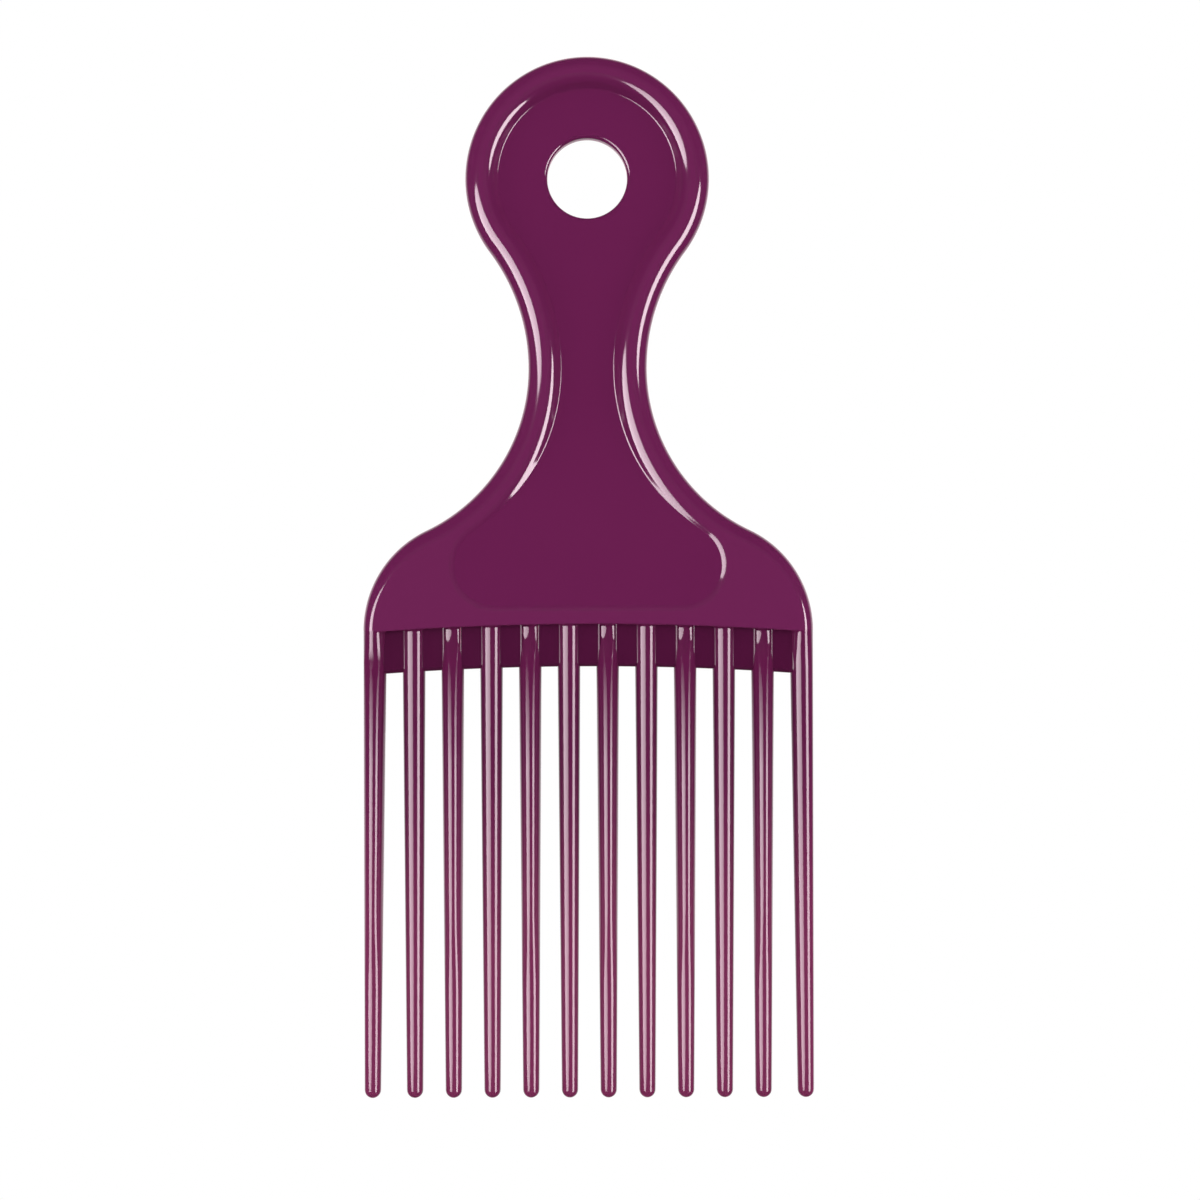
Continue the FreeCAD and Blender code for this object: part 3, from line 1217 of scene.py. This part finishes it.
@dataclass
class Studio:
    """Pale floor, white surroundings, two softboxes, six fill lamps and the camera."""

    aim_x: float = mm(1.99)
    aim_z: float = mm(-70.82)
    camera_distance: float = mm(320)
    camera_roll: float = 0.14
    field: float = mm(202.0)
    sensor: float = 36.0
    floor_z: float = -1.0
    floor_r: float = 1.2
    floor_corners: int = 96
    paper_colour: str = "F4F3F1"
    ambient: float = 0.45
    room: float = 0.02                 # what the plastic mirrors of the dark studio before the pick
    sweep_start: float = 0.4           # share of a direction along Y from which it starts to mirror white
    sweep_full: float = 0.7
    fill: float = 1.85
    fill_azimuths: tuple[int, ...] = (-10, 10, 170, 190)
    side_fill: float = 3.2
    side_azimuths: tuple[int, ...] = (-85, 85)
    softboxes: tuple[Softbox, ...] = (
        Softbox("left_softbox", inner_azimuth=-10, outer_azimuth=-62, radiance=16.0, inner_share=0.5),
        Softbox("right_softbox", inner_azimuth=37, outer_azimuth=65, radiance=15.0, bottom=-34.0),
    )

    def __post_init__(self) -> None:
        """Works out the place that the camera looks at."""
        self.aim = place(self.aim_x, self.aim_z)

    def build(self) -> None:
        """Sets up the view, the surroundings, the lamps and the camera."""
        scene = bpy.context.scene
        scene.view_settings.view_transform = "Standard"
        self._surroundings(scene)
        self._floor()
        for box in self.softboxes:
            box.build()
        for azimuth in self.fill_azimuths:
            FillLamp(f"fill_{azimuth % 360}", azimuth, self.fill).build(self.aim)
        for azimuth in self.side_azimuths:
            FillLamp(f"side_fill_{azimuth % 360}", azimuth, self.side_fill).build(self.aim)
        self._camera(scene)

    def _seen(self, tree: NodeTree) -> tuple[NodeSocket, NodeSocket]:
        """Adds the nodes that tell seen rays from lighting ones.

        Args:
            tree: Node tree of the world or the floor.

        Returns:
            A socket that is 1 for camera, glossy and transmission rays, and one that is 1 for glossy rays.
        """
        path = add_node(tree, "LightPath").outputs
        seen = path["Is Camera Ray"]
        for ray in ("Is Glossy Ray", "Is Transmission Ray"):
            seen = add_node(tree, "Math", {"operation": "MAXIMUM"}, links={0: seen, 1: path[ray]}).outputs[0]
        return seen, path["Is Glossy Ray"]

    def _surroundings(self, scene: Scene) -> None:
        """Makes a white sweep; what mirrors it sees white behind the pick and the dark studio before it.

        Args:
            scene: Scene that gets the sweep as its world.
        """
        world = bpy.data.worlds.new("white_sweep")
        scene.world = world
        tree = open_tree(world)
        seen, glossy = self._seen(tree)
        direction = add_node(tree, "TexCoord").outputs["Generated"]
        parts = add_node(tree, "SeparateXYZ", links={0: direction})
        mirrored = add_node(
            tree, "MapRange", {"interpolation_type": "SMOOTHSTEP"},
            {1: self.sweep_start, 2: self.sweep_full, 3: self.room, 4: 1.0}, {0: parts.outputs["Y"]},
        )
        sweep = add_node(
            tree, "Mix", {"data_type": "FLOAT"}, {2: 1.0}, {0: glossy, 3: mirrored.outputs[0]},
        )
        white = add_node(
            tree, "Background", inputs={"Color": linear(WHITE)}, links={"Strength": sweep.outputs[0]},
        )
        soft = add_node(tree, "Background", inputs={"Color": linear(WHITE), "Strength": self.ambient})
        both = add_node(tree, "MixShader", links={0: seen, 1: soft.outputs[0], 2: white.outputs[0]})
        add_node(tree, "OutputWorld", links={"Surface": both.outputs[0]})

    def _floor(self) -> None:
        """Lays a pale round floor under the pick, lit as well as bright, so that it keeps the shadow."""
        bpy.ops.object.select_all(action="DESELECT")
        bpy.ops.mesh.primitive_circle_add(
            vertices=self.floor_corners, radius=self.floor_r, fill_type="NGON",
            location=place(0, self.floor_z),
        )
        floor = bpy.context.object
        floor.name = "pale_floor"
        made = bpy.data.materials.new("pale_paper")
        tree = open_tree(made)
        seen, _ = self._seen(tree)
        paper = add_node(tree, "BsdfDiffuse", inputs={"Color": linear(self.paper_colour)})
        glow = add_node(tree, "Emission", inputs={"Color": linear(WHITE)}, links={"Strength": seen})
        both = add_node(tree, "AddShader", links={0: paper.outputs[0], 1: glow.outputs[0]})
        add_node(tree, "OutputMaterial", links={"Surface": both.outputs[0]})
        floor.data.materials.append(made)
        floor.visible_glossy = False

    def _camera(self, scene: Scene) -> None:
        """Stands the camera straight before the pick.

        Args:
            scene: Scene that gets the camera.
        """
        lens = bpy.data.cameras.new("front_camera")
        lens.sensor_width = self.sensor
        lens.lens = self.sensor * self.camera_distance / self.field
        holder = bpy.data.objects.new("front_camera", lens)
        holder.location = self.aim - Y_AXIS * self.camera_distance
        holder.rotation_euler = (math.radians(90), math.radians(self.camera_roll), 0)
        bpy.context.collection.objects.link(holder)
        scene.camera = holder


def main() -> None:
    """Builds the pick and its studio, and reports each piece."""
    logging.basicConfig(level=logging.INFO, format="%(message)s")
    handle = Handle(*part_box("handle"))
    tines = TineRow(handle, CAD_BOX[0].z)
    for sub_assembly in (handle, tines, RootWeb(handle, tines)):
        pieces = sub_assembly.build()
        sub_assembly.dress(pieces)
        for piece in pieces:
            LOG.info("%s: %d faces", piece.name, len(piece.data.polygons))
    Studio().build()


if __name__ == "__main__":
    main()
